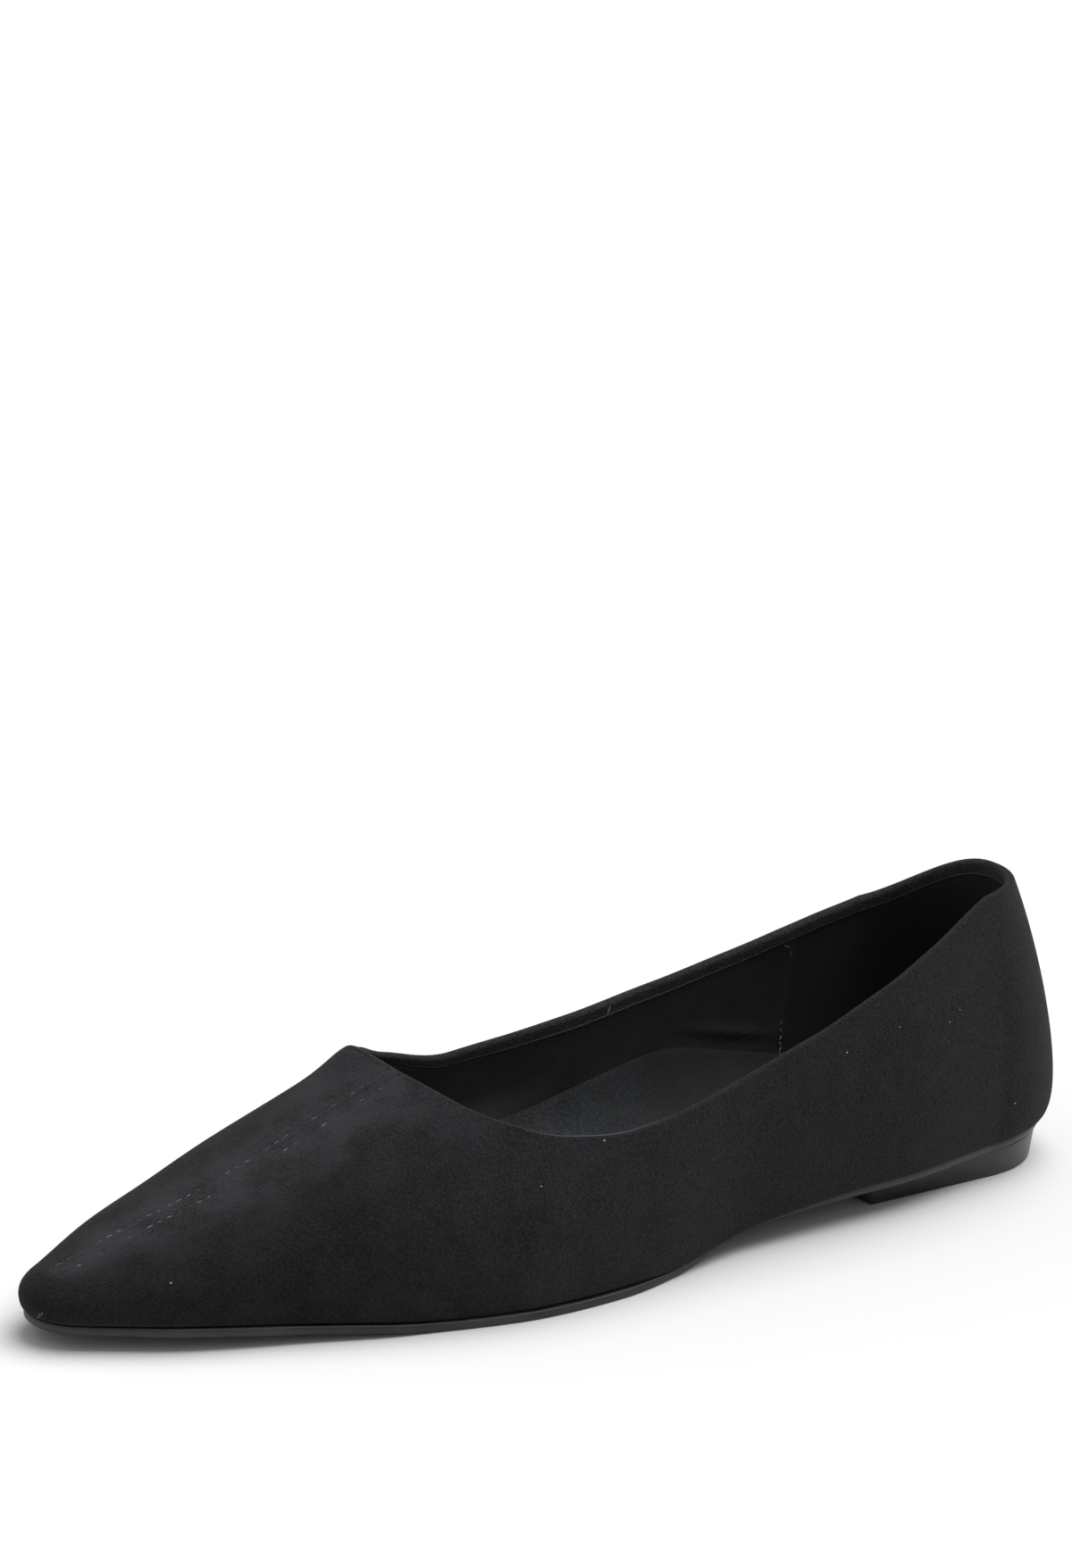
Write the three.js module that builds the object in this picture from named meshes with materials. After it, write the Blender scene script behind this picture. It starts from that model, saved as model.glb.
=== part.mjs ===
// A women's pointed toe flat shoe for the left foot: upper, insole, outsole and heel.
// Millimetres, +Z up, the toe points to -Y, and +X is the outer side of the foot.
// The origin is on the floor, under the middle of the shoe's box.
import * as THREE from 'three';
import { mergeVertices } from 'three/addons/utils/BufferGeometryUtils.js';

// Driving sizes of the last and the shoe
const LAST_LENGTH = 250; // feather edge, from the back of the heel to the toe's tip
const BALL_WIDTH = 74; // feather edge, across the ball of the foot
const INSTEP_HEIGHT = 41.6; // crown of the upper at the throat, above the floor
const BACK_HEIGHT = 65; // topline at the back, above the floor
const SEAT_RISE = 8.2; // feather edge at the heel's back, above that of the ball
const TOE_SPRING = 3.6; // feather edge at the toe's tip, above that of the ball
const UPPER_WALL = 1.8; // suede, backing and lining together
const MARGIN_WIDTH = 9; // what is turned in under the foot and cemented to the outsole
const MARGIN_SHARE = 0.6; // most that it takes of a narrow place's half width
const FEATHER_ROUND = 0.9; // bevel where the wall turns in
const FACING_STEP = 0.5; // suede folded over the topline, inside
const FACING_DEPTH = 2.6; // how far down it reaches
const FACING_FADE = 0.6; // where it has its full depth, as the topline table's back
const RIM_ROUND = 0.4; // crown of the folded topline
const SOLE_THICKNESS = 1.6;
const SOLE_LEDGE = 0.8; // how far the outsole stands out past the upper at the forefoot
const WAIST_TUCK = 3; // how far it hides under the upper at the waist
const EDGE_BEVEL = 0.4; // lower edge of the outsole
const INSOLE_THICKNESS = 3; // board and sock
const INSOLE_CLEARANCE = 1; // between the insole's edge and the upper's wall
const ARCH_RISE = 13; // most that the insole's inner edge is raised, at the waist
const HEEL_LENGTH = 63; // from the last's back to the heel's breast
const HEEL_WIDTH = 46; // heel's tread
const HEEL_FLARE = 1; // how much the heel's seat is larger than its tread, a side
const HEEL_BACK = 3.6; // tread's back edge, in from the last's back
const GAP = 0.3; // cement line between two pieces

// Plan and crown of the last. at: share of the length from the heel's back. swing and half: centre
// line and half width, shares of the ball width. back and instep: crown height, shares of those sizes.
const PLAN = [
  { at: 0.12, swing: 0.0, half: 0.355, back: 1.3555, instep: 0 },
  { at: 0.25, swing: 0.027, half: 0.391, back: 1.198, instep: 0 },
  { at: 0.4, swing: 0.027, half: 0.39, back: 1.132, instep: 0 },
  { at: 0.53, swing: 0.019, half: 0.463, back: 0.5077, instep: 0.69 },
  { at: 0.64, swing: -0.012, half: 0.501, back: 0, instep: 1.122 },
  { at: 0.74, swing: -0.063, half: 0.469, back: 0, instep: 0.817 },
  { at: 0.84, swing: -0.09, half: 0.37, back: 0, instep: 0.558 },
  { at: 0.91, swing: -0.09, half: 0.274, back: 0, instep: 0.442 },
  { at: 0.972, swing: -0.09, half: 0.148, back: 0, instep: 0.328 },
];

// Form of the walls. belly: how far the wall stands out over the feather edge, share of the ball
// width. steep: how fast it leaves the edge, share of its height. flat: width of the crown's flat part.
const WALLS = [
  { at: 0, belly: 0.101, steep: 0.03, flat: 0.575 },
  { at: 0.12, belly: 0.092, steep: 0.257, flat: 0.682 },
  { at: 0.3, belly: 0.076, steep: 0.394, flat: 0.775 },
  { at: 0.5, belly: 0.069, steep: 0.504, flat: 0.822 },
  { at: 0.66, belly: 0.065, steep: 0.595, flat: 0.84 },
  { at: 0.84, belly: 0.053, steep: 0.648, flat: 0.809 },
  { at: 1, belly: 0.03, steep: 0.67, flat: 0.749 },
];

// Side view of the foot's floor, and the outsole's edge. seat: share of the seat's rise. spring: share
// of the toe spring. ledge and tuck: shares of the ledge and of the waist's tuck.
const FLOOR = [
  { at: 0, seat: 1, spring: 0, ledge: 0, tuck: 0.4 },
  { at: 0.12, seat: 0.85, spring: 0, ledge: 0, tuck: 0.3 },
  { at: 0.25, seat: 0.8, spring: 0, ledge: 0, tuck: 0.3 },
  { at: 0.4, seat: 0.46, spring: 0, ledge: 0, tuck: 1 },
  { at: 0.5, seat: 0.03, spring: 0, ledge: 0.3, tuck: 0.3 },
  { at: 0.56, seat: 0, spring: 0, ledge: 1, tuck: 0 },
  { at: 0.7, seat: 0, spring: 0, ledge: 1, tuck: 0 },
  { at: 0.8, seat: 0, spring: 0.42, ledge: 1, tuck: 0 },
  { at: 0.9, seat: 0, spring: 0.82, ledge: 0.8, tuck: 0 },
  { at: 1, seat: 0, spring: 1, ledge: 0, tuck: 0.15 },
];

// Insole's edge on the inner side. rise: share of the arch's rise.
const ARCH = [
  { at: 0, rise: 0 },
  { at: 0.12, rise: 0.1 },
  { at: 0.25, rise: 0.62 },
  { at: 0.34, rise: 1 },
  { at: 0.42, rise: 0.85 },
  { at: 0.5, rise: 0.6 },
  { at: 0.57, rise: 0.25 },
  { at: 0.7, rise: 0 },
];

// The topline's cut through the sections. back: square root of the share of the way from the
// throat to the heel's back. outer and inner: where it cuts each side, 0 the edge, 1 the crown.
const THROAT_AT = 0.679; // share of the last's length
const TOPLINE = [
  { back: 0, outer: 1, inner: 1 },
  { back: 0.1, outer: 0.767, inner: 0.757 },
  { back: 0.2, outer: 0.606, inner: 0.64 },
  { back: 0.32, outer: 0.458, inner: 0.45 },
  { back: 0.45, outer: 0.369, inner: 0.341 },
  { back: 0.6, outer: 0.346, inner: 0.345 },
  { back: 0.7, outer: 0.393, inner: 0.374 },
  { back: 0.78, outer: 0.464, inner: 0.418 },
  { back: 0.825, outer: 0.506, inner: 0.443 },
  { back: 0.86, outer: 0.531, inner: 0.457 },
  { back: 0.91, outer: 0.57, inner: 0.476 },
  { back: 1, outer: 0.627, inner: 0.627 },
];

// How finely the form is cut into faces
const TOE_STEPS = 6; // columns round each half of the toe's tip
const VAMP_STEPS = 10; // from the tip to the throat
const THROAT_STEPS = 9; // round each corner of the throat
const QUARTER_STEPS = 14; // along each quarter
const HEEL_STEPS = 9; // round each half of the heel
const WALL_ROWS = 14; // up the outer face
const LINING_ROWS = 9; // up the inner face, below the facing
const THROAT_REACH = 0.14; // share of the length that the throat's corners take
const THROAT_CROWDING = 1.5; // how much closer its columns stand toward the throat
const PLATE_ROWS = [ 0, 0.4, 0.65, 0.85 ]; // rows across a plate's faces, shares of the way out
const STEP = 0.003; // share over which a slope is measured
const TINY = 1e-9;

const OUTER = 1;
const INNER = -1;
const HEEL_AT = PLAN[ 0 ].at; // centre of the round heel
const TOE_AT = PLAN[ PLAN.length - 1 ].at; // centre of the round tip
const TIP_LENGTH = ( 1 - TOE_AT ) * LAST_LENGTH;
const LEAST_SHOULDER = 0.05; // keeps the tip round, share of its half width
const BALL_FLOOR = SOLE_THICKNESS + GAP; // feather edge over the tread

// A table's column at a share of the length, with a smooth curve that makes no new peaks
function along( rows, name, at, key = 'at' ) {

  const rise = ( i, column ) => rows[ i + 1 ][ column ] - rows[ i ][ column ];
  const slope = ( i ) => rise( i, name ) / rise( i, key );
  const last = rows.length - 1;
  const turn = ( i ) => {

    if ( i === 0 ) return slope( 0 );
    if ( i === last ) return slope( last - 1 );
    const before = slope( i - 1 );
    const after = slope( i );
    return before * after > 0 ? 2 * before * after / ( before + after ) : 0;

  };

  const x = Math.min( Math.max( at, rows[ 0 ][ key ] ), rows[ last ][ key ] );
  let i = 0;
  while ( i < last - 1 && x > rows[ i + 1 ][ key ] ) i ++;
  const span = rows[ i + 1 ][ key ] - rows[ i ][ key ];
  const t = ( x - rows[ i ][ key ] ) / span;
  const from = rows[ i ][ name ];
  const to = rows[ i + 1 ][ name ];
  return from + t * t * ( 3 - 2 * t ) * ( to - from )
    + t * ( 1 - t ) * span * ( ( 1 - t ) * turn( i ) - t * turn( i + 1 ) );

}

const swing = ( at ) => BALL_WIDTH * along( PLAN, 'swing', at );
const halfWidth = ( at ) => BALL_WIDTH * along( PLAN, 'half', at );
const crownRows = PLAN.map( ( row ) => (
  { at: row.at, height: BACK_HEIGHT * row.back + INSTEP_HEIGHT * row.instep } ) );
const crown = ( at ) => along( crownRows, 'height', at );
const featherHeight = ( at ) => BALL_FLOOR + SEAT_RISE * along( FLOOR, 'seat', at )
  + TOE_SPRING * along( FLOOR, 'spring', at );

// How fast a form changes at the tip's centre, for each millimetre toward the toe
function tipSlope( form ) {

  return ( form( TOE_AT ) - form( TOE_AT - STEP ) ) / ( STEP * LAST_LENGTH );

}

// A column is one upright cut from the feather edge to the crown. x and y give its crown, dx and dy
// the way to its feather edge, reach the distance. y runs from the heel's back to the toe.
function makeColumn( side, x, y, across, ahead, top, fall ) {

  const reach = Math.hypot( across, ahead );
  const at = Math.min( Math.max( ( y + ahead ) / LAST_LENGTH, 0 ), 1 );
  const back = Math.sqrt( Math.max( THROAT_AT - at, 0 ) / THROAT_AT );
  const open = at < THROAT_AT - TINY;
  const cut = open ? along( TOPLINE, side === OUTER ? 'outer' : 'inner', back, 'back' ) : 1;
  return { x, y, dx: side * across / reach, dy: ahead / reach, reach, at, back, open, cut, top, fall };

}

// Columns of one side, from the toe's tip to the heel's back
function sideColumns( side ) {

  const columns = [];
  const tipHalf = halfWidth( TOE_AT );
  const shoulder = Math.max( tipHalf + tipSlope( halfWidth ) * TIP_LENGTH, LEAST_SHOULDER * tipHalf );
  for ( let i = 0; i <= TOE_STEPS; i ++ ) {

    const a = 1 - i / TOE_STEPS;
    const across = ( 1 - a ) * ( 1 - a ) * tipHalf + 2 * a * ( 1 - a ) * shoulder;
    const ahead = ( 2 * a * ( 1 - a ) + a * a ) * TIP_LENGTH;
    columns.push( makeColumn( side, swing( TOE_AT ), TOE_AT * LAST_LENGTH, across, ahead,
      crown( TOE_AT ), tipSlope( crown ) ) );

  }

  const addSection = ( at ) => columns.push(
    makeColumn( side, swing( at ), at * LAST_LENGTH, halfWidth( at ), 0, crown( at ), 0 ) );
  const addSections = ( count, from, to, crowding = 1 ) => {

    for ( let i = 1; i <= count; i ++ ) addSection( from + ( to - from ) * ( i / count ) ** crowding );

  };

  const quarterAt = THROAT_AT - THROAT_REACH;
  addSections( VAMP_STEPS, TOE_AT, THROAT_AT );
  addSections( THROAT_STEPS, THROAT_AT, quarterAt, THROAT_CROWDING );
  addSections( QUARTER_STEPS, quarterAt, HEEL_AT );
  for ( let i = 1; i <= HEEL_STEPS; i ++ ) {

    const a = Math.PI / 2 * i / HEEL_STEPS;
    columns.push( makeColumn( side, 0, HEEL_AT * LAST_LENGTH, halfWidth( HEEL_AT ) * Math.cos( a ),
      - HEEL_AT * LAST_LENGTH * Math.sin( a ), crown( HEEL_AT ), 0 ) );

  }

  return columns;

}

// All columns in a ring: outer side from toe to heel, then inner side from heel to toe
const outerColumns = sideColumns( OUTER );
const innerColumns = sideColumns( INNER );
const ring = [ ...outerColumns, ...innerColumns.slice( 1, - 1 ).reverse() ];
const ringIndex = ( i ) => ( i + ring.length ) % ring.length;
const THROAT_INDEX = TOE_STEPS + VAMP_STEPS;

// The last's outer surface: share 0 is the feather edge, 1 the crown
function surfacePoint( column, share ) {

  const { x, y, dx, dy, reach, at, top, fall } = column;
  const floor = featherHeight( at );
  const height = top - floor;
  const belly = BALL_WIDTH * along( WALLS, 'belly', at );
  const steep = along( WALLS, 'steep', at );
  const flat = reach * along( WALLS, 'flat', at );
  const u = 1 - share;
  const foot = u * u * u;
  const low = 3 * u * u * share;
  const high = 3 * u * share * share;
  const out = foot * reach + low * ( reach + belly ) + high * flat;
  const z = floor + low * steep * height + high * ( height + fall * dy * flat ) + share ** 3 * height;
  return new THREE.Vector3( x + dx * out, - ( y + dy * out ), z );

}

// The surface's normal, pointing out. On the ridge both sides have the same one.
function surfaceNormal( index, share ) {

  const column = ring[ index ];
  const onRidge = share > 1 - STEP;
  if ( onRidge && column.y > TOE_AT * LAST_LENGTH - TINY ) {

    return new THREE.Vector3( 0, tipSlope( crown ), 1 ).normalize();

  }

  const round = surfacePoint( ring[ ringIndex( index + 1 ) ], share )
    .sub( surfacePoint( ring[ ringIndex( index - 1 ) ], share ) );
  const up = onRidge ? new THREE.Vector3( - column.dx, 0, 0 )
    : surfacePoint( column, share + STEP ).sub( surfacePoint( column, Math.max( share - STEP, 0 ) ) );
  return round.cross( up ).normalize();

}

// The share of a column's way up where it is a height above its feather edge
function shareAtHeight( column, height ) {

  const goal = featherHeight( column.at ) + height;
  let low = 0;
  let high = 1;
  while ( high - low > TINY ) {

    const middle = ( low + high ) / 2;
    if ( surfacePoint( column, middle ).z < goal ) low = middle;
    else high = middle;

  }

  return high;

}

// Turns quads and triangles of points into one closed mesh
class Faces {

  constructor() {

    this.points = [];

  }

  triangle( a, b, c ) {

    this.points.push( a, b, c );

  }

  quad( a, b, c, d ) {

    this.triangle( a, b, c );
    this.triangle( a, c, d );

  }

  geometry() {

    const loose = new THREE.BufferGeometry().setFromPoints( this.points );
    const merged = mergeVertices( loose, 1e-4 );
    const index = merged.index.array;
    const kept = [];
    for ( let i = 0; i < index.length; i += 3 ) {

      const [ a, b, c ] = index.slice( i, i + 3 );
      if ( a !== b && b !== c && c !== a ) kept.push( a, b, c );

    }

    merged.setIndex( kept );
    merged.computeVertexNormals();
    return merged;

  }

}

// How far out from a column's middle is clear of the wall's lining, at a height over the feather edge
function clearOut( index, height, clearance ) {

  const column = ring[ index ];
  const share = shareAtHeight( column, height );
  const wall = surfacePoint( column, share );
  const normal = surfaceNormal( index, share );
  const out = Math.hypot( wall.x - column.x, wall.y + column.y );
  return out - ( UPPER_WALL + clearance ) / Math.hypot( normal.x, normal.y );

}

// A point of the foot's floor on a column, some way out from its middle, at a height over the floor
function floorPoint( column, out, height ) {

  const y = column.y + column.dy * out;
  return new THREE.Vector3( column.x + column.dx * out, - y, featherHeight( y / LAST_LENGTH ) + height );

}

// Outer face of the upper's wall, from the bevel at the feather edge to the topline or the crown
function outerFace( index ) {

  const column = ring[ index ];
  const low = shareAtHeight( column, FEATHER_ROUND );
  const points = [];
  for ( let r = 0; r <= WALL_ROWS; r ++ ) {

    points.push( surfacePoint( column, low + ( column.cut - low ) * r / WALL_ROWS ) );

  }

  return points;

}

// Inner face, from the topline down: the folded facing, its step, then the lining down to the floor
function innerFace( index ) {

  const column = ring[ index ];
  const inside = ( share, depth ) => surfacePoint( column, share )
    .addScaledVector( surfaceNormal( index, share ), - depth );
  const fade = column.open ? Math.min( column.back / FACING_FADE, 1 ) : 0;
  const below = surfacePoint( column, column.cut - STEP );
  const pace = surfacePoint( column, column.cut ).distanceTo( below ) / STEP;
  const facingShare = column.cut - fade * FACING_DEPTH / pace;
  const facingWall = UPPER_WALL + fade * FACING_STEP;
  const points = [
    inside( column.cut, facingWall ),
    inside( ( column.cut + facingShare ) / 2, facingWall ),
    inside( facingShare, facingWall ),
    inside( facingShare, UPPER_WALL ),
  ];
  const low = shareAtHeight( column, UPPER_WALL );
  for ( let r = 1; r <= LINING_ROWS; r ++ ) {

    points.push( inside( facingShare + ( low - facingShare ) * r / LINING_ROWS, UPPER_WALL ) );

  }

  const corner = points[ points.length - 1 ];
  corner.z = featherHeight( - corner.y / LAST_LENGTH ) + UPPER_WALL;
  return points;

}

// Crown of the folded topline over one column: half way through the wall and a little up
function rimPoint( index, outside, inside ) {

  const topPoint = ( i ) => surfacePoint( ring[ ringIndex( i ) ], ring[ ringIndex( i ) ].cut );
  const column = ring[ index ];
  const from = column.open ? topPoint( index - 1 ) : topPoint( - THROAT_INDEX - 1 );
  const to = column.open ? topPoint( index + 1 ) : topPoint( THROAT_INDEX + 1 );
  const up = surfaceNormal( index, column.cut ).cross( to.sub( from ) ).normalize();
  return outside.clone().add( inside ).multiplyScalar( 0.5 ).addScaledVector( up, RIM_ROUND );

}

// The upper: one wall round the foot, open at the topline and, inside its turned-in margin, underneath
function makeUpper() {

  const sections = ring.map( ( column, index ) => {

    const outer = outerFace( index );
    const inner = innerFace( index );
    const marginEdge = column.reach - Math.min( MARGIN_WIDTH, MARGIN_SHARE * column.reach );
    const rim = rimPoint( index, outer[ outer.length - 1 ], inner[ 0 ] );
    return [
      floorPoint( column, marginEdge, 0 ),
      floorPoint( column, column.reach - FEATHER_ROUND, 0 ),
      ...outer,
      rim,
      ...inner,
      floorPoint( column, marginEdge, UPPER_WALL ),
    ];

  } );
  const rimRow = WALL_ROWS + 3;
  const faces = new Faces();
  sections.forEach( ( section, index ) => {

    const next = ringIndex( index + 1 );
    const closed = ! ring[ index ].open && ! ring[ next ].open;
    section.forEach( ( point, row ) => {

      if ( closed && ( row === rimRow - 1 || row === rimRow ) ) return;
      const above = ( row + 1 ) % section.length;
      faces.quad( point, sections[ next ][ row ], sections[ next ][ above ], section[ above ] );

    } );

  } );
  return faces.geometry();

}

// A plate under the whole foot: its rim follows the feather edge, rims lists the ways out from the
// edge and the heights over the floor, from the top face's rim to the bottom face's. lift is how much
// the top face rises from the middle to its rim.
function makePlate( rims, lift = () => 0 ) {

  const sections = ring.map( ( column, index ) => {

    const edges = rims( column, index );
    const rise = ( edge, share ) => edge === edges[ 0 ] ? lift( column ) * ( share ** 3 - 1 ) : 0;
    const onFace = ( edge ) => ( share ) => (
      floorPoint( column, share * ( column.reach + edge.out ), edge.height + rise( edge, share ) ) );
    return [
      ...PLATE_ROWS.map( onFace( edges[ edges.length - 1 ] ) ),
      ...edges.toReversed().map( ( edge ) => onFace( edge )( 1 ) ),
      ...PLATE_ROWS.toReversed().map( onFace( edges[ 0 ] ) ),
    ];

  } );
  const faces = new Faces();
  sections.forEach( ( section, index ) => {

    const next = sections[ ringIndex( index + 1 ) ];
    for ( let row = 0; row + 1 < section.length; row ++ ) {

      faces.quad( section[ row ], next[ row ], next[ row + 1 ], section[ row + 1 ] );

    }

  } );
  return faces.geometry();

}

// The insole lies on the upper's margin, stays clear of its wall and rises to the arch of the foot
function makeInsole() {

  const bottom = UPPER_WALL + GAP;
  const arch = ( column ) => column.dx < 0 ? ARCH_RISE * along( ARCH, 'rise', column.at ) : 0;
  return makePlate( ( column, index ) => {

    const top = bottom + INSOLE_THICKNESS + arch( column );
    const edge = ( height ) => (
      { out: clearOut( index, height, INSOLE_CLEARANCE ) - column.reach, height } );
    return [ edge( top ), edge( bottom ) ];

  }, arch );

}

// The outsole runs from toe to heel: it shows as a ledge at the forefoot and hides at the waist
function makeOutsole() {

  return makePlate( ( column ) => {

    const ledge = SOLE_LEDGE * along( FLOOR, 'ledge', column.at );
    const out = ledge - WAIST_TUCK * along( FLOOR, 'tuck', column.at );
    return [
      { out, height: - GAP },
      { out, height: - GAP - SOLE_THICKNESS + EDGE_BEVEL },
      { out: out - EDGE_BEVEL, height: - GAP - SOLE_THICKNESS },
    ];

  } );

}

// The heel: a low block with a round back and a straight breast, its seat fitted to the outsole
function makeHeel() {

  const heelSteps = 2 * HEEL_STEPS;
  const treadHalf = HEEL_WIDTH / 2;
  const seatHalf = treadHalf + HEEL_FLARE;
  const roundAt = HEEL_BACK + treadHalf;
  const outline = ( half, back, share ) => {

    const a = Math.min( share * 2, 1 ) * Math.PI / 2;
    const forward = Math.max( share * 2 - 1, 0 ) * ( HEEL_LENGTH - roundAt );
    return { half: half * Math.sin( a ), y: roundAt - ( roundAt - back ) * Math.cos( a ) + forward };

  };
  const sections = [];
  for ( let i = 0; i <= heelSteps; i ++ ) {

    const tread = outline( treadHalf, HEEL_BACK, i / heelSteps );
    const seat = outline( seatHalf, HEEL_BACK - HEEL_FLARE, i / heelSteps );
    const seatZ = featherHeight( seat.y / LAST_LENGTH ) - GAP - SOLE_THICKNESS - GAP;
    sections.push( [
      new THREE.Vector3( tread.half, - tread.y, 0 ),
      new THREE.Vector3( seat.half, - seat.y, seatZ ),
      new THREE.Vector3( - seat.half, - seat.y, seatZ ),
      new THREE.Vector3( - tread.half, - tread.y, 0 ),
    ] );

  }

  const faces = new Faces();
  for ( let i = 0; i < heelSteps; i ++ ) {

    const here = sections[ i ];
    const next = sections[ i + 1 ];
    for ( let c = 0; c < here.length; c ++ ) {

      const after = ( c + 1 ) % here.length;
      faces.quad( here[ c ], here[ after ], next[ after ], next[ c ] );

    }

  }

  faces.quad( ...sections[ heelSteps ] );
  return faces.geometry();

}

const suede = new THREE.MeshStandardMaterial( { color: 0x1b1b1d, roughness: 0.95, metalness: 0 } );
const lining = new THREE.MeshStandardMaterial( { color: 0x26272a, roughness: 0.85, metalness: 0 } );
const rubber = new THREE.MeshStandardMaterial( { color: 0x141415, roughness: 0.5, metalness: 0 } );

const shoe = new THREE.Group();
const pieces = [
  [ 'upper', makeUpper(), suede ],
  [ 'insole', makeInsole(), lining ],
  [ 'outsole', makeOutsole(), rubber ],
  [ 'heel', makeHeel(), rubber ],
];
for ( const [ name, geometry, material ] of pieces ) {

  const mesh = new THREE.Mesh( geometry, material );
  mesh.name = name;
  shoe.add( mesh );

}

// The origin goes under the middle of the shoe's box
const middle = new THREE.Box3().setFromObject( shoe ).getCenter( new THREE.Vector3() );
shoe.position.set( - middle.x, - middle.y, 0 );

export default shoe;
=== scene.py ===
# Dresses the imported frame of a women's pointed toe flat shoe, left foot. Everything is in metres:
# +Z up, the toe points to -Y, and +X is the outer side of the foot.
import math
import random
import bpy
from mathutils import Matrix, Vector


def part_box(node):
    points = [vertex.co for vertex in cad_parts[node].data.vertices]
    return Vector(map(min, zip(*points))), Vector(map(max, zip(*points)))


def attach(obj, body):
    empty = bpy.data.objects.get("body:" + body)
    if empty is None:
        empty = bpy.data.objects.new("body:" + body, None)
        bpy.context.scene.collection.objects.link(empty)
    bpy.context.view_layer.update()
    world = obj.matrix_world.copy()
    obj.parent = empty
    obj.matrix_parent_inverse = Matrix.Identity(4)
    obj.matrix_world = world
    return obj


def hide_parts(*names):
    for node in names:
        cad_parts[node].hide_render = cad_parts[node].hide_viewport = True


bl_info = {
    "name": "Pointed toe flat shoe",
    "version": (1, 0, 0),
    "blender": (4, 5, 0),
    "location": "3D View > Sidebar > Flat shoe",
    "description": "Suede upper, lining, vamp seam, insole, outsole, heel and the stage around them",
    "category": "Object",
}

import bmesh
import bpy
import numpy as np
from mathutils import Matrix, Vector
from mathutils.bvhtree import BVHTree

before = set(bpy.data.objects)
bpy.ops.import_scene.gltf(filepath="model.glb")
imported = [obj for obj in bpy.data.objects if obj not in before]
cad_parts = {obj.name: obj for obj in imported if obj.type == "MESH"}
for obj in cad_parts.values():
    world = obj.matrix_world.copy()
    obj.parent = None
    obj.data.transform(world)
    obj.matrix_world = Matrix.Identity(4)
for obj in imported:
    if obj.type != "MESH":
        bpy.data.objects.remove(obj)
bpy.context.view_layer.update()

MM = 0.001
OUTER = 1
INNER = -1
TINY = 1e-9
STEP = 0.003  # share over which a slope is measured
MERGED = 0.002 * MM  # points closer than this are one


def table(names, *rows):
    """A table with named columns."""
    return dict(zip(names.split(), np.array(rows, float).T))


# Plan and crown of the last. at: share of the length from the heel's back. swing and half: centre
# line and half width, shares of the ball width. back and instep: crown height, shares of those sizes.
PLAN = table(
    "at swing half back instep",
    (0.12, 0.0, 0.355, 1.3555, 0),
    (0.25, 0.027, 0.391, 1.198, 0),
    (0.4, 0.027, 0.39, 1.132, 0),
    (0.53, 0.019, 0.463, 0.5077, 0.69),
    (0.64, -0.012, 0.501, 0, 1.122),
    (0.74, -0.063, 0.469, 0, 0.817),
    (0.84, -0.09, 0.37, 0, 0.558),
    (0.91, -0.09, 0.274, 0, 0.442),
    (0.972, -0.09, 0.148, 0, 0.328),
)

# Form of the walls. belly: how far the wall stands out over the feather edge, share of the ball
# width. steep: how fast it leaves the edge, share of its height. flat: width of the crown's flat part.
WALLS = table(
    "at belly steep flat",
    (0, 0.101, 0.03, 0.575),
    (0.12, 0.092, 0.257, 0.682),
    (0.3, 0.076, 0.394, 0.775),
    (0.5, 0.069, 0.504, 0.822),
    (0.66, 0.065, 0.595, 0.84),
    (0.84, 0.053, 0.648, 0.809),
    (1, 0.03, 0.67, 0.749),
)

# Side view of the foot's floor, and the outsole's edge. seat: share of the seat's rise. spring: share
# of the toe spring. ledge and tuck: shares of the ledge and of the waist's tuck.
FLOOR = table(
    "at seat spring ledge tuck",
    (0, 1, 0, 0, 0.4),
    (0.12, 0.85, 0, 0, 0.3),
    (0.25, 0.8, 0, 0, 0.3),
    (0.4, 0.46, 0, 0, 1),
    (0.5, 0.03, 0, 0.3, 0.3),
    (0.56, 0, 0, 1, 0),
    (0.7, 0, 0, 1, 0),
    (0.8, 0, 0.42, 1, 0),
    (0.9, 0, 0.82, 0.8, 0),
    (1, 0, 1, 0, 0.15),
)

# Insole's edge on the inner side. rise: share of the arch's rise.
ARCH = table(
    "at rise",
    (0, 0),
    (0.12, 0.1),
    (0.25, 0.62),
    (0.34, 1),
    (0.42, 0.85),
    (0.5, 0.6),
    (0.57, 0.25),
    (0.7, 0),
)

# The topline's cut through the sections. back: square root of the share of the way from the
# throat to the heel's back. outer and inner: where it cuts each side, 0 the edge, 1 the crown.
THROAT_AT = 0.679
TOPLINE = table(
    "back outer inner",
    (0, 1, 1),
    (0.1, 0.767, 0.757),
    (0.2, 0.606, 0.64),
    (0.32, 0.458, 0.45),
    (0.45, 0.369, 0.341),
    (0.6, 0.346, 0.345),
    (0.7, 0.393, 0.374),
    (0.78, 0.464, 0.418),
    (0.825, 0.506, 0.443),
    (0.86, 0.531, 0.457),
    (0.91, 0.57, 0.476),
    (1, 0.627, 0.627),
)
HEEL_AT = 0.12  # centre of the round heel
TOE_AT = 0.972  # centre of the round tip
LEAST_SHOULDER = 0.05  # keeps the tip round, share of its half width
FACING_FADE = 0.6  # where the facing has its full depth, as the topline table's back
MARGIN_SHARE = 0.6  # most that the margin takes of a narrow place's half width

# How finely the form is cut: columns of one side, and rows
TOE_STEPS = 20
VAMP_STEPS = 74
THROAT_STEPS = 40
THROAT_REACH = 0.14
THROAT_CROWDING = 1.5
QUARTER_STEPS = 56
HEEL_STEPS = 30
THROAT_INDEX = TOE_STEPS + VAMP_STEPS
OUTER_ROWS = 54
RIM_ROWS = 8
LINING_ROWS = 30

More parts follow.
